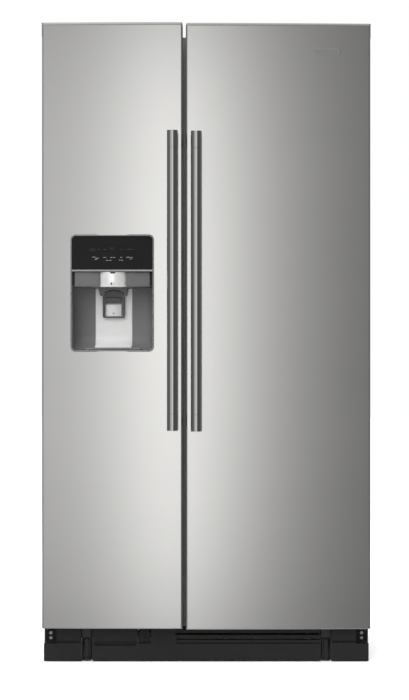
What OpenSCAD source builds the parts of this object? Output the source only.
// Side by side refrigerator: freezer on the left with an ice and water dispenser, fresh food on the right.
// Millimetres. +Z up, -Y is the front. The origin is on the floor, at the middle of the overall width and depth.

/* [Overall size] */
// Width across both doors
body_w = 911; // [909:1:913]
// Height from the floor to the top of the freezer door
body_h = 1775; // [1770:1:1780]
// Depth from the rear cover to the front of the handles
body_d = 857; // [855:1:859]

/* [Doors] */
// Centre of the gap between the doors, left of the middle
gap_x = -61; // [-62:1:-60]
// Width of the gap between the doors
gap_w = 8.4; // [7:0.1:9]
// Radius of the bow that both door fronts share
bow_r = 8500; // [8000:100:12000]
// Thickness of a door at the gap
door_t = 66; // [65:1:67]
// Height of the doors' lower edge above the floor
door_z = 95; // [94:1:96]
// How far the right door sits below the left one
door_step = 2; // [0:0.5:3]
// Reach of a handle in front of its door
handle_reach = 60.5; // [60:0.5:62]
// Width of a handle
handle_w = 31; // [28:1:32]
// Length of a handle
handle_len = 825; // [800:5:830]

/* [Cabinet] */
// Height of the cabinet's top
cabinet_h = 1743; // [1741:1:1745]
// Thickness of the insulated side walls
wall_t = 50.5; // [50:0.5:51]
// Thickness of the wall between the two compartments
mullion_t = 50; // [49:1:51]

/* [Hidden] */
$fn = 48;
eps = 1;

// Fits
run_gap = 0.05;   // radial clearance of a pin that turns in its hole
slip = 0.5;       // clearance beside a sliding or swinging piece
sheet = 1.5;      // thickness of the cabinet's steel sheet
skin_t = 1.2;     // thickness of the doors' stainless sheet
liner_t = 2;      // thickness of the plastic liners

// Planes along the depth, front to back
y_handle = -body_d / 2;
y_door = y_handle + handle_reach;
y_back = y_door + door_t;
y_cab = y_back + 12;
y_rear = body_d / 2;
y_shell = y_rear - 16;

// Cabinet
half_w = body_w / 2;
cab_w = half_w - 2;
in_l = -cab_w + wall_t;
in_r = cab_w - wall_t;
mull_l = gap_x - mullion_t / 2;
mull_r = gap_x + mullion_t / 2;
floor_z = 135;
top_z = cabinet_h - 45;
step_y = 130;
tread_z = 360;
cav_y = 362;
foam_z = 95;
room_z = 320;
room_y = 170;

// Doors
pivot_x = half_w - 23.5;
pivot_y = y_back - 26;
pin_r = 6;
edge_r = 5;
fz_x = [-half_w, gap_x - gap_w / 2];
rf_x = [gap_x + gap_w / 2, half_w];
cap_t = 12;
cap_h = 40;
pocket_z = 7;
handle_top = 1470;
handle_x = 33.3;
post_h = 47;
seal_w = 14;

// Dispenser
disp_x = -260.5;
bezel_w = 232;
bezel_z = [862, 1187];
recess_x = [disp_x - 113.5, disp_x + 113.5];
recess_z = [867, 1087];
recess_back = -238;
header_z = 1043;
duct_x = [disp_x - 33, disp_x + 33];
duct_y = [-302, -259];
duct_top = 1298;
duct_t = 3;
paddle_y = -258;
paddle_t = 6;
paddle_pivot_z = 1031;
water_pivot_z = 994;
trunnion_r = 2.5;
bulge_back = -222;

// Base
grille_y = -330;
leg_x = 334;
leg_y = -304;
leg_r = 6;
filter_x = -172;
filter_z = 74;
filter_r = 16.3;
roller_r = 20;
roller_x = 403.5;
front_roller_y = -225;
rear_roller_y = 360;
front_lift = 2;
axle_r = 4;

// Shelves and drawers
shelf_y = [-170, cav_y];
fresh_levels = [828, 1110, 1390];
freezer_levels = [640, 915, 1190];
drawer_front = -168;
bin_y = [y_back, -192];
fz_bin_x = [-385, -120];
rf_bin_x = [-6, 385];
fz_bins = [190, 420, 650];
rf_bins = [190, 480, 770, 1060];
dairy_z = [1420, 1540];
ice_bin_x = [-380, -121];
ice_bin_y = [y_back, -192];
ice_bin_z = [1300, 1560];
auger_z = 1348;
auger_y = -247;

// Machine room
fan_y = 290;
fan_z = 165;
fan_x = 100;
coil_x = [-320, 20];
evap_fan_x = -245;
evap_fan_z = 1300;

// Clear plastics and glass
clear = [0.85, 0.92, 0.95, 0.5];
steel = [0.62, 0.62, 0.6];
black = [0.06, 0.06, 0.06];
dark = [0.28, 0.28, 0.29];
white = [0.93, 0.94, 0.94];

// ---- Shapes that repeat ----

// A block between two values on each axis
module blk(x, y, z) {
    translate([x[0], y[0], z[0]])
        cube([x[1] - x[0], y[1] - y[0], z[1] - z[0]]);
}

// An outline in Y and Z, pushed along X
module along_x(x) {
    translate([x[0], 0, 0])
        rotate([90, 0, 90])
            linear_extrude(x[1] - x[0])
                children();
}

// A cylinder along X, Y or Z
module rod_x(r, x, y, z) {
    translate([x[0], y, z])
        rotate([0, 90, 0])
            cylinder(r = r, h = x[1] - x[0]);
}

module rod_y(r, x, y, z) {
    translate([x, y[1], z])
        rotate([90, 0, 0])
            cylinder(r = r, h = y[1] - y[0]);
}

module rod_z(r, x, y, z) {
    translate([x, y, z[0]])
        cylinder(r = r, h = z[1] - z[0]);
}

// Points on an arc
function arc(c, r, a0, a1, n = 6) =
    [for (i = [0:n]) let (a = a0 + (a1 - a0) * i / n) [c[0] + r * cos(a), c[1] + r * sin(a)]];

// Outline of a rectangle with round corners
function round_rect(x, y, r, n = 6) = concat(
    arc([x[0] + r, y[0] + r], r, 180, 270, n),
    arc([x[1] - r, y[0] + r], r, 270, 360, n),
    arc([x[1] - r, y[1] - r], r, 0, 90, n),
    arc([x[0] + r, y[1] - r], r, 90, 180, n)
);

// An open box: outer size and wall thickness
module tray(x, y, z, t) {
    difference() {
        blk(x, y, z);
        blk([x[0] + t, x[1] - t], [y[0] + t, y[1] - t], [z[0] + t, z[1] + eps]);
    }
}

// A rectangular ring in X and Z, with its depth along Y
module ring_y(x, y, z, w) {
    difference() {
        blk(x, y, z);
        blk([x[0] + w, x[1] - w], [y[0] - eps, y[1] + eps], [z[0] + w, z[1] - w]);
    }
}

// The piece and its mirror image across the middle plane
module both_sides() {
    children();
    mirror([1, 0, 0])
        children();
}

// ---- The doors' outline, seen from above ----

function bow(x) = (x - gap_x) * (x - gap_x) / (2 * bow_r);
function front_y(x) = y_door + bow(x);

// Both vertical front edges are rounded; inset moves the outline in by a sheet's thickness
function door_outline(x, inset, n = 20) =
    let (
        a = x[0] + edge_r,
        b = x[1] - edge_r
    ) concat(
        [[x[0] + inset, y_back]],
        arc([a, front_y(a) + edge_r], edge_r - inset, 180, 270),
        [for (i = [1:n - 1]) let (u = a + (b - a) * i / n) [u, front_y(u) + inset]],
        arc([b, front_y(b) + edge_r], edge_r - inset, 270, 360),
        [[x[1] - inset, y_back]]
    );

module door_slab(x, z, inset) {
    translate([0, 0, z[0]])
        linear_extrude(z[1] - z[0])
            polygon(door_outline(x, inset));
}

// Part of the slab between two values on each axis
module slab_part(x, z, px, pz) {
    intersection() {
        door_slab(x, z, skin_t);
        blk(px, [y_door - eps, y_back - liner_t], pz);
    }
}

// Stainless sheet: the front and both sides; on the hinge side it stops below the top cap
module door_skin(x, z, hinge_x) {
    side = hinge_x < 0 ? [hinge_x - eps, hinge_x + skin_t] : [hinge_x - skin_t, hinge_x + eps];
    difference() {
        door_slab(x, z, 0);
        door_slab(x, [z[0] - eps, z[1] + eps], skin_t);
        blk([x[0] - eps, x[1] + eps], [y_back - 6, y_back + eps], [z[0] - eps, z[1] + eps]);
        blk(side, [front_y(hinge_x) + edge_r, y_back + eps], [z[1] - cap_h, z[1] + eps]);
    }
}

// Plastic end caps, with the bores that turn on the hinge pins
module door_caps(x, z, hinge_x) {
    s = hinge_x < 0 ? -1 : 1;
    flange = s < 0 ? [hinge_x - 0.8, hinge_x + skin_t] : [hinge_x - skin_t, hinge_x + 0.8];
    lip_y = front_y(s * (half_w - edge_r)) + 8;
    pocket = s < 0 ? [hinge_x - 2, -pivot_x + 62] : [pivot_x - 62, hinge_x + 2];
    difference() {
        union() {
            door_slab(x, [z[1] - cap_h, z[1]], skin_t);
            blk(flange, [front_y(hinge_x) + edge_r, y_back - 6], [z[1] - cap_h, z[1]]);
        }
        blk([x[0] + 14, x[1] - 14], [y_door + 14 + bow(hinge_x), y_back - 12], [z[1] - cap_h - eps, z[1] - cap_t]);
        blk(pocket, [lip_y, y_back + eps], [z[1] - pocket_z, z[1] + eps]);
        rod_z(pin_r + run_gap, s * pivot_x, pivot_y, [z[1] - cap_h - eps, z[1]]);
    }
    difference() {
        rod_z(11, s * pivot_x, pivot_y, [z[1] - cap_h, z[1] - cap_t]);
        rod_z(pin_r + run_gap, s * pivot_x, pivot_y, [z[1] - cap_h - eps, z[1]]);
    }
    difference() {
        door_slab(x, [z[0], z[0] + cap_t * 2], skin_t);
        rod_z(pin_r + run_gap, s * pivot_x, pivot_y, [z[0] - eps, z[0] + cap_t * 2 + eps]);
    }
}

// Magnetic seal around the door's back
module door_gasket(x, z) {
    ring_y(x, [y_back, y_cab - 0.4], z, seal_w);
}

// Straight handle bar and its two end posts, which stand on the door
module door_handle(x, top) {
    front = round_rect([x - handle_w / 2, x + handle_w / 2], [y_handle, y_handle + 25], 9);
    low = top - handle_len;
    translate([0, 0, low + post_h])
        linear_extrude(handle_len - 2 * post_h)
            polygon(front);
    for (z = [low, top - post_h])
        difference() {
            union() {
                translate([0, 0, z])
                    linear_extrude(post_h)
                        polygon(front);
                blk([x - 11, x + 11], [y_handle + 12, y_door + 3], [z + 6, z + post_h - 6]);
            }
            door_slab(x < gap_x ? fz_x : rf_x, [z - eps, z + post_h + eps], 0);
        }
}

// Door shelf: an open bin with a lower front wall
module door_bin(x, z, h) {
    difference() {
        blk(x, bin_y, [z, z + h]);
        blk([x[0] + 2.5, x[1] - 2.5], [bin_y[0] + 2.5, bin_y[1] - 2.5], [z + 2.5, z + h + eps]);
    }
}

// Sliding drawer with a thicker front and a finger lip
module drawer(x, y, z) {
    tray(x, [y[0] + 6, y[1]], z, 2.5);
    blk(x, [y[0], y[0] + 6], z);
    blk([x[0] + 40, x[1] - 40], [y[0] - 12, y[0]], [z[1] - 10, z[1]]);
}

// ---- Cabinet ----

module cabinet_shell() color(steel)
difference() {
    blk([-cab_w, cab_w], [y_cab, y_shell], [20, cabinet_h]);
    blk([-cab_w + sheet, cab_w - sheet], [y_cab + sheet, y_shell + eps], [20 - eps, cabinet_h - sheet]);
    blk([-cab_w + sheet, cab_w - sheet], [y_cab - eps, y_cab + 2 * sheet], [20 - eps, foam_z]);
    blk([in_l, mull_l], [y_cab - eps, y_cab + 2 * sheet], [floor_z, top_z]);
    blk([mull_r, in_r], [y_cab - eps, y_cab + 2 * sheet], [floor_z, top_z]);
    for (x = [-245, 180])
        rod_y(4.6, x, [y_cab - eps, y_cab + 2 * sheet], 1731);
}

// Upper back sheet, and the vented cover of the machine room with its cord gland
module rear_panels() color([0.55, 0.56, 0.57]) {
    blk([-cab_w + sheet, cab_w - sheet], [y_shell - sheet, y_shell], [room_z, cabinet_h - sheet]);
    difference() {
        union() {
            blk([-cab_w + sheet, cab_w - sheet], [y_shell - sheet, y_shell], [40, room_z]);
            blk([-330, 320], [y_shell, y_rear], [70, 300]);
        }
        blk([-328.5, 318.5], [y_shell - 2 * sheet, y_rear - sheet], [71.5, 298.5]);
        for (i = [0:9], x = [-290, 30])
            blk([x, x + 250], [y_rear - 2 * sheet, y_rear + eps], [100 + i * 18, 106 + i * 18]);
        rod_y(9.5, 375, [y_shell - 2 * sheet, y_shell + eps], 190);
        rod_y(10.05, 375, [y_shell - 2 * sheet, y_shell + eps], 110);
        for (x = [-400, 400], z = [60, 280])
            rod_y(2.6, x, [y_shell - 2 * sheet, y_shell + eps], z);
    }
    difference() {
        union() {
            rod_y(10, 375, [y_shell - sheet, y_shell], 110);
            rod_y(13, 375, [y_shell, y_shell + 12], 110);
        }
        rod_y(5, 375, [y_shell - 3 * sheet, y_shell + 20], 110);
    }
}

// Foam around both compartments, in slabs that meet face to face
module insulation_foam() color([0.9, 0.85, 0.65]) {
    back = y_shell - sheet;
    side = cab_w - sheet;
    fl = in_l - liner_t;
    fr = in_r + liner_t;
    front = y_cab + sheet;
    for (x = [[-side, fl], [fr, side]])
        blk(x, [front, back], [foam_z, cabinet_h - sheet]);
    difference() {
        blk([fl, fr], [front, back], [top_z + liner_t, cabinet_h - sheet]);
        for (x = [-245, 180])
            rod_y(4.6, x, [front - eps, front + 30], 1731);
    }
    blk([fl, fr], [cav_y + liner_t, back], [tread_z - liner_t, top_z + liner_t]);
    blk([fl, fr], [front, step_y + liner_t], [foam_z, floor_z - liner_t]);
    blk([fl, fr], [step_y + liner_t, room_y], [foam_z, room_z]);
    blk([fl, fr], [step_y + liner_t, back], [room_z, tread_z - liner_t]);
    blk([mull_l + liner_t, mull_r - liner_t], [front, step_y + liner_t], [floor_z - liner_t, top_z + liner_t]);
    blk([mull_l + liner_t, mull_r - liner_t], [step_y + liner_t, cav_y + liner_t], [tread_z - liner_t, top_z + liner_t]);
}

// Side profile of a compartment, grown by m
function cavity_profile(m, front) = [
    [front, floor_z - m],
    [step_y + m, floor_z - m],
    [step_y + m, tread_z - m],
    [cav_y + m, tread_z - m],
    [cav_y + m, top_z + m],
    [front, top_z + m]
];

module liner(x) {
    difference() {
        along_x([x[0] - liner_t, x[1] + liner_t])
            polygon(cavity_profile(liner_t, y_cab + sheet));
        along_x(x)
            polygon(cavity_profile(0, y_cab - eps));
    }
}

module freezer_liner() color(white)
    liner([in_l, mull_l]);

module fresh_food_liner() color(white)
    liner([mull_r, in_r]);

// Steel base: side rails with axle stubs, front rail with leg nuts, and the machine room's floor
module base_frame() color(black) {
    stub = roller_x - 11;
    rail = 413;
    both_sides() {
        blk([rail, cab_w - sheet], [y_cab + 2, y_shell - sheet], [12, foam_z]);
        rod_x(axle_r, [stub, rail], front_roller_y, roller_r + front_lift);
        rod_x(axle_r, [stub, rail], rear_roller_y, roller_r);
    }
    blk([filter_x + 32, rail], [y_cab + 2, y_cab + 20], [62, foam_z]);
    blk([-rail, filter_x - 32], [y_cab + 2, y_cab + 20], [62, foam_z]);
    both_sides()
        difference() {
            blk([leg_x - 13, leg_x + 13], [leg_y - 13, y_cab + 2], [66, 90]);
            rod_z(leg_r + run_gap, leg_x, leg_y, [66 - eps, 90 + eps]);
        }
    difference() {
        blk([-rail, rail], [room_y, y_shell - sheet], [40, 43]);
        both_sides()
            blk([roller_x - 14, rail + eps], [rear_roller_y - 26, rear_roller_y + 26], [40 - eps, 43 + eps]);
    }
    blk([-rail, rail], [room_y, room_y + 3], [43, foam_z]);
}

// Kick plate: louvres, filter opening, leg notches and the two end blocks
module base_grille() color(black) {
    back = grille_y + 24;
    end_x = 452;
    notch = [321, 347];
    louvre = [-86, notch[0] - 3];
    difference() {
        union() {
            blk([-notch[0] + 3, notch[0] - 3], [grille_y, back], [4, 50]);
            blk([-notch[0] + 3, filter_x - 18], [grille_y, back], [50, 91]);
            blk([filter_x + 18, louvre[0]], [grille_y, back], [50, 91]);
            both_sides() {
                blk([notch[1] + 1, end_x], [grille_y, back], [2, 50]);
                blk([notch[1] + 1, 417], [grille_y, back], [50, 91]);
            }
        }
        both_sides()
            blk([notch[1] + 3, 419], [grille_y - eps, grille_y + 6], [52, 59]);
        blk([-310, -196], [grille_y - eps, grille_y + 8], [44, 56]);
    }
    both_sides()
        blk([notch[0] - 8, notch[1] + 5], [grille_y + 8, back], [90.4, 92.2]);
    for (z = [52, 66, 80])
        blk(louvre, [grille_y + 2, back], [z, z + 8]);
    for (x = [louvre[0] + 3, -31, 47, 125, 203, 281, louvre[1] - 3])
        blk([x - 1.5, x + 1.5], [grille_y + 6, back], [50, 91]);
}

// Top hinge: foot on the cabinet, riser, and an arm over the door with its pin
module top_hinge() {
    arm_z = body_h - 6.5;
    arm_t = 3;
    foot = [pivot_x - 72, pivot_x - 12];
    riser_y = y_cab + 3;
    difference() {
        blk(foot, [riser_y, riser_y + 62], [cabinet_h, cabinet_h + 4]);
        for (x = [foot[0] + 14, foot[1] - 14])
            rod_z(2.6, x, riser_y + 40, [cabinet_h - eps, cabinet_h + 5]);
    }
    blk(foot, [riser_y, riser_y + 4], [cabinet_h, arm_z + arm_t]);
    translate([0, 0, arm_z])
        linear_extrude(arm_t)
            polygon([
                [pivot_x + 9.2, pivot_y + 7.7],
                [pivot_x - 26, riser_y + 4],
                [foot[0], riser_y + 4],
                [foot[0], riser_y],
                [pivot_x - 10.4, pivot_y - 6]
            ]);
    rod_z(12, pivot_x, pivot_y, [arm_z, arm_z + arm_t]);
    rod_z(pin_r, pivot_x, pivot_y, [body_h - cap_h + 4, arm_z]);
}

// Bottom hinge: plate under the door, a flange on the base and an upright pin
module bottom_hinge(z) {
    plate = [z - 7, z - 3];
    rod_z(12, pivot_x, pivot_y, plate);
    rod_z(pin_r, pivot_x, pivot_y, [plate[1], z + 20]);
    rod_z(9, pivot_x, pivot_y, [plate[1], z - 0.5]);
    blk([pivot_x - 12, pivot_x + 12], [pivot_y, y_cab + 2], plate);
    difference() {
        blk([pivot_x - 12, pivot_x + 18], [y_cab - 2, y_cab + 2], [54, plate[1]]);
        for (dz = [8, 22])
            rod_y(2.6, pivot_x + 3, [y_cab - 3, y_cab + 3], 54 + dz);
    }
}

module door_hinges() color([0.35, 0.35, 0.36]) {
    top_hinge();
    mirror([1, 0, 0])
        top_hinge();
    bottom_hinge(door_z - door_step);
    mirror([1, 0, 0])
        bottom_hinge(door_z);
}

// Plastic covers over the top hinges' feet
module hinge_covers() color(dark)
both_sides()
    difference() {
        blk([pivot_x - 84, pivot_x + 20], [y_cab + 0.5, y_cab + 76], [cabinet_h, body_h]);
        blk([pivot_x - 81, pivot_x + 17], [y_cab + 3, y_cab + 73], [cabinet_h - eps, body_h - 3]);
        blk([pivot_x - 73, pivot_x + 14], [y_cab - eps, y_cab + 4], [cabinet_h - eps, body_h + eps]);
    }

// Hinge screws and the machine cover's screws
module screws() color([0.7, 0.7, 0.7]) {
    foot = [pivot_x - 72, pivot_x - 12];
    both_sides() {
        for (x = [foot[0] + 14, foot[1] - 14]) {
            rod_z(5, x, y_cab + 43, [cabinet_h + 4, cabinet_h + 7]);
            rod_z(2.5, x, y_cab + 43, [cabinet_h, cabinet_h + 4]);
        }
        for (dz = [8, 22]) {
            rod_y(4.5, pivot_x + 3, [y_cab - 4.5, y_cab - 2], 54 + dz);
            rod_y(2.5, pivot_x + 3, [y_cab - 2, y_cab + 2], 54 + dz);
        }
        for (z = [60, 280]) {
            rod_y(4.5, 400, [y_shell, y_shell + 2.5], z);
            rod_y(2.5, 400, [y_shell - sheet, y_shell], z);
        }
    }
}

// ---- Machine room ----

// Solenoid valve whose threaded inlet comes through the rear cover
module water_valve() color([0.85, 0.85, 0.82]) {
    blk([360, 392], [372, 404], [160, 215]);
    rod_z(11, 384, 388, [215, 236]);
    rod_y(8, 375, [404, y_shell + 2], 190);
    rod_y(5.5, 375, [y_shell + 2, y_rear], 190);
}

// Sealed compressor: domed can, foot plate and four rubber grommets
module compressor() color(black) {
    c = [260, 290];
    translate([c[0], c[1], 0])
        rotate_extrude()
            polygon(concat(
                [[0, 62]],
                arc([52, 82], 20, 270, 360),
                arc([52, 205], 20, 0, 90),
                [[30, 231], [0, 234]]
            ));
    difference() {
        blk([c[0] - 82, c[0] + 82], [c[1] - 62, c[1] + 62], [57, 62]);
        for (x = [-72, 72], y = [-52, 52])
            rod_z(5.1, c[0] + x, c[1] + y, [50, 70]);
    }
    for (x = [-72, 72], y = [-52, 52]) {
        rod_z(10, c[0] + x, c[1] + y, [43, 57]);
        rod_z(5, c[0] + x, c[1] + y, [57, 66]);
    }
    rod_z(4, c[0] + 84, c[1] - 10, [60, 210]);
    blk([c[0] + 70, c[0] + 84], [c[1] - 14, c[1] - 6], [120, 150]);
}

// Serpentine tube of the condenser, in three layers joined by side plates
module condenser_coil() color([0.2, 0.2, 0.2]) {
    rows = 5;
    pitch = 30;
    first = 215;
    for (z = [100, 135, 170]) {
        for (i = [0:rows - 1])
            rod_x(4, coil_x, first + i * pitch, z);
        for (i = [0:rows - 2])
            translate([i % 2 == 0 ? coil_x[1] : coil_x[0], first + (i + 0.5) * pitch, z])
                rotate([0, 0, i % 2 == 0 ? -90 : 90])
                    rotate_extrude(angle = 180)
                        translate([pitch / 2, 0])
                            circle(r = 4);
    }
    for (x = [coil_x[0] + 30, coil_x[1] - 30])
        blk([x - 1, x + 1], [first - 12, first + (rows - 1) * pitch + 12], [45.5, 186]);
}

// Open tray that catches the defrost water
module drain_pan() color([0.15, 0.15, 0.15])
    tray([-350, 60], [190, 400], [43, 80], 2.5);

// Condenser fan motor on its shroud, and the evaporator fan motor on its bracket
module fan_motors() color([0.3, 0.3, 0.32]) {
    rod_x(26, [64, 84], fan_y, fan_z);
    blk([64, 68], [fan_y - 95, fan_y + 95], [fan_z - 12, fan_z + 12]);
    for (y = [fan_y - 95, fan_y + 83])
        blk([64, 68], [y, y + 12], [43, 255]);
    rod_x(3, [84, fan_x + 10], fan_y, fan_z);
    rod_y(22, evap_fan_x, [338, cav_y], evap_fan_z);
    rod_y(2.5, evap_fan_x, [316, 338], evap_fan_z);
}

// Hub with blades; the axis is Z at the origin
module fan_wheel(r, hub_r, h, bore, blades) {
    difference() {
        union() {
            rod_z(hub_r, 0, 0, [0, h]);
            for (i = [0:blades - 1])
                rotate([0, 0, i * 360 / blades])
                    translate([r / 2 + hub_r / 4, 0, h / 2])
                        rotate([28, 0, 0])
                            cube([r - hub_r / 2, r * 0.5, 2], center = true);
        }
        rod_z(bore, 0, 0, [-h, 2 * h]);
    }
}

module condenser_fan() color(dark)
    translate([fan_x - 10, fan_y, fan_z])
        rotate([0, 90, 0])
            fan_wheel(68, 18, 16, 3 + run_gap, 5);

module evaporator_fan() color(dark)
    translate([evap_fan_x, 332, evap_fan_z])
        rotate([90, 0, 0])
            fan_wheel(46, 13, 12, 2.5 + run_gap, 4);

// ---- Inside the compartments ----

module plate_ring(x, y, z, w) {
    difference() {
        blk(x, y, z);
        blk([x[0] + w, x[1] - w], [y[0] + w, y[1] - w], [z[0] - eps, z[1] + eps]);
    }
}

// Levels of the two drawer covers in the fresh food compartment
cover_levels = [[334, [-170, step_y]], [530, [-170, cav_y]]];

module shelf_glass() color(clear) {
    x = [mull_r + 14, in_r - 14];
    for (z = fresh_levels)
        blk(x, [shelf_y[0] + 14, shelf_y[1] - 40], [z + 8, z + 12]);
    for (c = cover_levels)
        blk(x, [c[1][0] + 14, c[1][1] - 14], [c[0] + 8, c[0] + 12]);
}

// Plastic frames; each holds its glass in a step
module glass_frame(x, y, z) {
    plate_ring(x, y, [z, z + 8], 18);
    plate_ring(x, y, [z + 8, z + 13], 14);
}

module shelf_frames() color(white) {
    x = [mull_r, in_r];
    for (z = fresh_levels)
        glass_frame(x, [shelf_y[0], shelf_y[1] - 26], z);
    for (c = cover_levels)
        glass_frame(x, c[1], c[0]);
}

module upper_crisper() color(clear)
    drawer([mull_r + 12, in_r - 12], [drawer_front, cav_y - 24], [tread_z + 1.5, 522]);

module lower_crisper() color(clear)
    drawer([mull_r + 12, in_r - 12], [drawer_front, step_y - 10], [floor_z + 1.5, 326]);

module freezer_basket() color(white)
    drawer([in_l + 12, mull_l - 12], [drawer_front, step_y - 10], [floor_z + 1.5, 345]);

// Grid shelves and the cover over the basket
module freezer_shelves() color(white) {
    x = [in_l, mull_l];
    slots = 11;
    pitch = (x[1] - x[0] - 30) / slots;
    for (level = concat([[360, step_y]], [for (z = freezer_levels) [z, 290]]))
        difference() {
            blk(x, [shelf_y[0], level[1]], [level[0], level[0] + 7]);
            for (i = [0:slots - 1], y = [[0.03, 0.33], [0.36, 0.65], [0.68, 0.97]])
                blk(
                    [x[0] + 17 + i * pitch, x[0] + 13 + (i + 1) * pitch],
                    [
                        shelf_y[0] + (level[1] - shelf_y[0]) * y[0],
                        shelf_y[0] + (level[1] - shelf_y[0]) * y[1]
                    ],
                    [level[0] - eps, level[0] + 7 + eps]
                );
        }
}

// Panel in front of the evaporator, with the fan's grille and return slots
module evaporator_cover() color(white)
difference() {
    blk([in_l, mull_l], [296, 299], [tread_z, 1520]);
    for (i = [0:6])
        blk([evap_fan_x - 45, evap_fan_x + 45], [295, 300], [1262 + i * 12, 1268 + i * 12]);
    for (i = [0:5])
        blk([in_l + 40, mull_l - 40], [295, 300], [390 + i * 12, 396 + i * 12]);
}

// Finned coil
module evaporator_coil() color([0.75, 0.76, 0.78]) {
    x = [in_l + 30, mull_l - 30];
    for (z = [760, 850, 940, 1030])
        rod_x(4.5, x, 330, z);
    for (i = [0:9])
        blk([x[0] + 8 + i * 25, x[0] + 9.5 + i * 25], [308, 354], [730, 1060]);
}

// Ice maker: housing with an open mould and an arm bearing
module icemaker() color(white) {
    x = [in_l + 8, mull_l - 60];
    y = [-176, -40];
    difference() {
        blk(x, y, [1605, top_z]);
        blk([x[0] + 30, x[1] - 12], [y[0] + 10, y[1] - 30], [1625, 1660]);
        blk([x[0] + 30, x[1] - 12], [y[0] - eps, y[0] + 20], [1640, 1660]);
    }
    rod_x(3, [x[1], x[1] + 14], -110, 1620);
}

// Shut-off arm, which turns on the ice maker's side
module icemaker_arm() color(steel) {
    x = mull_l - 60;
    difference() {
        rod_x(7, [x + 2, x + 10], -110, 1620);
        rod_x(3 + run_gap, [x, x + 12], -110, 1620);
    }
    difference() {
        blk([x + 4, x + 8], [-176, -110], [1617, 1623]);
        rod_x(5, [x, x + 12], -110, 1620);
    }
    blk([x + 4, x + 8], [-180, -176], [1575, 1623]);
    blk([x - 120, x + 8], [-180, -176], [1571, 1575]);
}

// Filter head in the base, open to the front
module filter_housing() color(dark)
difference() {
    rod_y(20, filter_x, [y_cab, -20], filter_z);
    rod_y(filter_r + slip, filter_x, [y_cab - eps, -30], filter_z);
}

module water_filter() color([0.12, 0.12, 0.13]) {
    rod_y(filter_r, filter_x, [grille_y + 3, -34], filter_z);
    blk([filter_x - 2, filter_x + 2], [grille_y - 3, grille_y + 3], [filter_z - 13, filter_z + 13]);
}

// Door switches: plungers that the closed doors hold in
module plunger(x) {
    rod_y(4.1, x, [y_back + 0.4, y_cab + 20], 1731);
}

module freezer_switch() color(white)
    plunger(-245);

module refrigerator_switch() color(white)
    plunger(180);

// ---- Freezer door ----

module freezer_door_skin() color([0.75, 0.75, 0.74])
difference() {
    door_skin(fz_x, [door_z, body_h], -half_w);
    blk(
        [disp_x - bezel_w / 2 + 4, disp_x + bezel_w / 2 - 4],
        [y_door - eps, y_back],
        [bezel_z[0] + 4, bezel_z[1] - 4]
    );
}

// Foam blocks around the dispenser
module freezer_door_core() color([0.9, 0.85, 0.65]) {
    low = door_z + 2 * cap_t;
    high = body_h - cap_h;
    sides = [disp_x - bezel_w / 2 + 1, disp_x + bezel_w / 2 - 1];
    z = [door_z, body_h];
    slab_part(fz_x, z, [-500, 0], [low, bezel_z[0] + 2]);
    slab_part(fz_x, z, [-500, sides[0]], [bezel_z[0] + 2, bezel_z[1] - 2]);
    slab_part(fz_x, z, [sides[1], 0], [bezel_z[0] + 2, bezel_z[1] - 2]);
    slab_part(fz_x, z, [-500, 0], [bezel_z[1] - 2, high]);
}

// Inner panel: sheet, bulge behind the dispenser and two dams that hold the bins
module freezer_door_liner() color(white) {
    x = [fz_x[0] + 2, fz_x[1] - 2];
    z = [door_z + 2, body_h - cap_h];
    hole = [recess_x[0] - 1, recess_x[1] + 1];
    hole_z = [recess_z[0] - 3, recess_z[1] + 1];
    bulge = [hole[0] - 14, hole[1] + 14];
    bulge_z = [hole_z[0] - 14, 1203];
    sheet_y = [y_back - liner_t, y_back];
    blk(x, sheet_y, [z[0] + 2 * cap_t, hole_z[0]]);
    blk([x[0], hole[0]], sheet_y, hole_z);
    blk([hole[1], x[1]], sheet_y, hole_z);
    blk(x, sheet_y, [hole_z[1], z[1]]);
    blk(bulge, [recess_back + 3, bulge_back], [bulge_z[0], bulge_z[1]]);
    blk([bulge[0], hole[0]], [y_back, recess_back + 3], bulge_z);
    blk([hole[1], bulge[1]], [y_back, recess_back + 3], bulge_z);
    blk(hole, [y_back, recess_back + 3], [bulge_z[0], hole_z[0]]);
    blk([hole[0], duct_x[0]], [y_back, recess_back + 3], [hole_z[1], bulge_z[1]]);
    blk([duct_x[1], hole[1]], [y_back, recess_back + 3], [hole_z[1], bulge_z[1]]);
    blk(duct_x, [duct_y[1], recess_back + 3], [hole_z[1], bulge_z[1]]);
    for (d = [[fz_bin_x[0] - 12, fz_bin_x[0]], [fz_bin_x[1], fz_bin_x[1] + 12]]) {
        blk(d, [y_back, y_back + 40], [150, bulge_z[0]]);
        blk(d, [y_back, y_back + 40], [bulge_z[1], 1685]);
    }
}

module freezer_door_gasket() color([0.5, 0.5, 0.5])
    door_gasket([-pivot_x + 1, mull_l + 17], [door_z + 10, 1719]);

module freezer_door_caps() color(dark)
    door_caps(fz_x, [door_z, body_h], -half_w);

module freezer_door_handle() color([0.5, 0.5, 0.5])
    door_handle(gap_x - handle_x, handle_top);

module freezer_door_bins() color(clear)
    for (z = fz_bins)
        door_bin(fz_bin_x, z, 105);

// Ice bin with an outlet over the duct and bearings for the auger
module ice_bin() color(clear)
difference() {
    tray(ice_bin_x, ice_bin_y, ice_bin_z, 3);
    blk([duct_x[0] + duct_t, duct_x[1] - duct_t], [y_back + 3, duct_y[1] - duct_t], [1290, 1310]);
    rod_x(4 + run_gap, [ice_bin_x[0] - eps, ice_bin_x[1] + eps], auger_y, auger_z);
}

// Shaft with blades that step round it
module ice_auger() color(steel) {
    rod_x(4, ice_bin_x, auger_y, auger_z);
    for (i = [0:7])
        translate([ice_bin_x[0] + 24 + i * 30, auger_y, auger_z])
            rotate([i * 45, 0, 0])
                blk([-5, 5], [-2, 2], [0, 36]);
}

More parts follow.
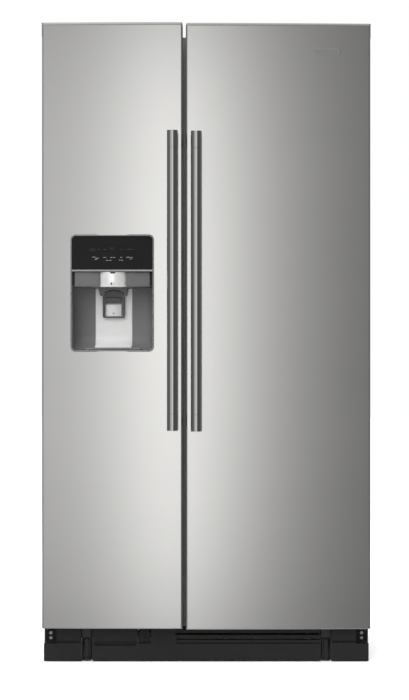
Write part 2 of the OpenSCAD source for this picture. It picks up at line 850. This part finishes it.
// Thin frame around the recess, with the bright bar under the panel
module dispenser_bezel() color([0.55, 0.55, 0.55]) {
    x = [disp_x - bezel_w / 2, disp_x + bezel_w / 2];
    difference() {
        translate([0, y_door + 8, 0])
            rotate([90, 0, 0])
                linear_extrude(10)
                    difference() {
                        polygon(round_rect(x, bezel_z, 14));
                        polygon(round_rect([x[0] + 4, x[1] - 4], [bezel_z[0] + 4, bezel_z[1] - 4], 10));
                    }
        door_slab(fz_x, [door_z, body_h], 0);
    }
    blk([x[0] + 4.4, x[1] - 4.4], [y_door - 1.5, y_door + 10], [1084, 1089.5]);
}

module control_panel() color([0.05, 0.05, 0.05])
translate([0, y_door + 26, 0])
    rotate([90, 0, 0])
        linear_extrude(27)
            polygon(round_rect(
                [disp_x - bezel_w / 2 + 4.4, disp_x + bezel_w / 2 - 4.4],
                [1089.5, bezel_z[1] - 4.4],
                9.6
            ));

// Recess: back and side walls, floor, header with the ice outlet, duct and paddle bearings
module dispenser_housing() color(dark) {
    x = recess_x;
    front = y_door + 12;
    wall = 2.5;
    mouth = [duct_x[0] + duct_t, duct_x[1] - duct_t];
    mouth_y = [duct_y[0] + duct_t, duct_y[1] - duct_t];
    difference() {
        blk([x[0] - 0.5, x[1] + 0.5], [front, recess_back + 2.5], [recess_z[0] - 2.5, recess_z[1]]);
        blk([x[0] + wall, x[1] - wall], [front - eps, recess_back], [recess_z[0], header_z]);
        blk([x[0] - eps, x[1] + eps], [front - eps, front + 4], [header_z - 3, 1100]);
        blk(mouth, mouth_y, [header_z - eps, 1100]);
    }
    difference() {
        blk(duct_x, [y_back + 0.5, duct_y[1]], [recess_z[1], duct_top]);
        blk(mouth, mouth_y, [recess_z[1] - eps, duct_top + eps]);
    }
    difference() {
        translate([0, -244, 0])
            rotate([90, 0, 0])
                linear_extrude(60)
                    polygon([
                        [disp_x - 42, header_z],
                        [disp_x - 36, 1020],
                        [disp_x + 36, 1020],
                        [disp_x + 42, header_z]
                    ]);
        blk([disp_x - 32, disp_x + 32], [-301, -200], [1000, header_z]);
        rod_x(trunnion_r + run_gap, [disp_x - 50, disp_x + 50], paddle_y + 3, paddle_pivot_z);
    }
}

// Bright convex nose in front of the water and ice outlets
module nozzle_cover() color([0.85, 0.85, 0.85])
intersection() {
    blk([disp_x - 35, disp_x + 35], [y_door + 1, y_door + 16], [1042, 1083.6]);
    rod_z(60, disp_x, y_door + 62, [1030, 1090]);
}

// Pale plate behind the glass and the tray below it
module splash_plate() color([0.8, 0.8, 0.8]) {
    blk([disp_x - 50, disp_x + 50], [recess_back - 2.5, recess_back], [880, header_z - 1]);
    blk([disp_x - 50, disp_x + 50], [-345, recess_back], [873, 880]);
    blk([disp_x - 44, disp_x + 44], [-335, recess_back - 6], [recess_z[0], 873]);
}

// Upper lever, hung on two trunnions, with a window for the water pad
module ice_paddle() color([0.35, 0.35, 0.36]) {
    x = [disp_x - 31.3, disp_x + 31.3];
    difference() {
        blk(x, [paddle_y, paddle_y + paddle_t], [958, paddle_pivot_z + 6]);
        blk([disp_x - 24, disp_x + 24], [paddle_y - eps, paddle_y + paddle_t + eps], [961, 1000]);
    }
    rod_x(trunnion_r, [disp_x - 36, disp_x + 36], paddle_y + 3, paddle_pivot_z);
    blk([disp_x - 24, disp_x + 24], [paddle_y - 5, paddle_y], [1004, 1015]);
}

// Lower pad, which pivots at its top edge on two short stubs
module water_paddle() color([0.85, 0.85, 0.85]) {
    blk([disp_x - 22.5, disp_x + 22.5], [paddle_y - 3, paddle_y + 3], [962.5, water_pivot_z + 3]);
    rod_x(2, [disp_x - 23.4, disp_x + 23.4], paddle_y, water_pivot_z);
}

// Flap that closes the ice outlet, with a bead along its hinge edge
module chute_door() color(dark) {
    blk([disp_x - 29, disp_x + 29], [-297.5, duct_y[1] - duct_t - 1], [1046, 1049]);
    rod_x(2, [disp_x - 29, disp_x + 29], -264.5, 1047.5);
}

// ---- Refrigerator door ----

rf_z = [door_z - door_step, body_h - door_step];

module refrigerator_door_skin() color([0.7, 0.7, 0.69])
    door_skin(rf_x, rf_z, half_w);

module refrigerator_door_core() color([0.9, 0.85, 0.65])
    slab_part(rf_x, rf_z, [-100, 500], [rf_z[0] + 2 * cap_t, rf_z[1] - cap_h]);

module refrigerator_door_liner() color(white) {
    blk([rf_x[0] + 2, rf_x[1] - 2], [y_back - liner_t, y_back], [rf_z[0] + 2 * cap_t, rf_z[1] - cap_h]);
    for (d = [[rf_bin_x[0] - 12, rf_bin_x[0]], [rf_bin_x[1], rf_bin_x[1] + 10]])
        blk(d, [y_back, y_back + 40], [150, 1685]);
}

module refrigerator_door_gasket() color([0.5, 0.5, 0.5])
    door_gasket([mull_r - 17, pivot_x - 1], [door_z + 10, 1719]);

module refrigerator_door_caps() color(dark)
    door_caps(rf_x, rf_z, half_w);

module refrigerator_door_handle() color([0.5, 0.5, 0.5])
    door_handle(gap_x + handle_x, handle_top - door_step);

// Four bins and the dairy box
module refrigerator_door_bins() color(clear) {
    for (z = rf_bins)
        door_bin(rf_bin_x, z, 115);
    door_bin(rf_bin_x, dairy_z[0], dairy_z[1] - dairy_z[0]);
}

// Flip-up lid of the dairy box
module dairy_lid() color(clear) {
    blk([rf_bin_x[0] + 1, rf_bin_x[1] - 1], [y_back + 8, bin_y[1] + 3], [dairy_z[1] + 1, dairy_z[1] + 4]);
    blk([rf_bin_x[0] + 1, rf_bin_x[1] - 1], [bin_y[1] + 1, bin_y[1] + 3], [dairy_z[1] - 14, dairy_z[1] + 1]);
    rod_x(2.5, [rf_bin_x[0] + 1, rf_bin_x[1] - 1], y_back + 6, dairy_z[1] + 3.5);
}

// ---- Rollers and legs ----

module roller_pair(y, z) {
    both_sides()
        difference() {
            rod_x(roller_r, [roller_x - 8, roller_x + 8], y, z);
            rod_x(axle_r + run_gap, [roller_x - 9, roller_x + 9], y, z);
        }
}

module front_rollers() color(dark)
    roller_pair(front_roller_y, roller_r + front_lift);

module rear_rollers() color(dark)
    roller_pair(rear_roller_y, roller_r);

// Levelling leg: threaded stud, hexagon and foot
module leg(x) {
    rod_z(leg_r, x, leg_y, [60, 89]);
    translate([x, leg_y, 8])
        cylinder(r = 10.5, h = 52, $fn = 6);
    rod_z(13, x, leg_y, [0, 8]);
}

module left_leg() color(dark)
    leg(-leg_x);

module right_leg() color(dark)
    leg(leg_x);

// ---- Assembly ----

cabinet_shell();
rear_panels();
insulation_foam();
freezer_liner();
fresh_food_liner();
base_frame();
base_grille();
door_hinges();
hinge_covers();
screws();
water_valve();
compressor();
condenser_coil();
drain_pan();
fan_motors();
shelf_glass();
shelf_frames();
icemaker();
freezer_shelves();
evaporator_coil();
evaporator_cover();
filter_housing();
freezer_door_skin();
freezer_door_core();
freezer_door_liner();
freezer_door_gasket();
freezer_door_caps();
freezer_door_handle();
freezer_door_bins();
ice_bin();
dispenser_bezel();
control_panel();
dispenser_housing();
nozzle_cover();
splash_plate();
refrigerator_door_skin();
refrigerator_door_core();
refrigerator_door_liner();
refrigerator_door_gasket();
refrigerator_door_caps();
refrigerator_door_handle();
refrigerator_door_bins();
ice_paddle();
water_paddle();
chute_door();
ice_auger();
dairy_lid();
upper_crisper();
lower_crisper();
freezer_basket();
condenser_fan();
evaporator_fan();
front_rollers();
rear_rollers();
left_leg();
right_leg();
water_filter();
freezer_switch();
refrigerator_switch();
icemaker_arm();
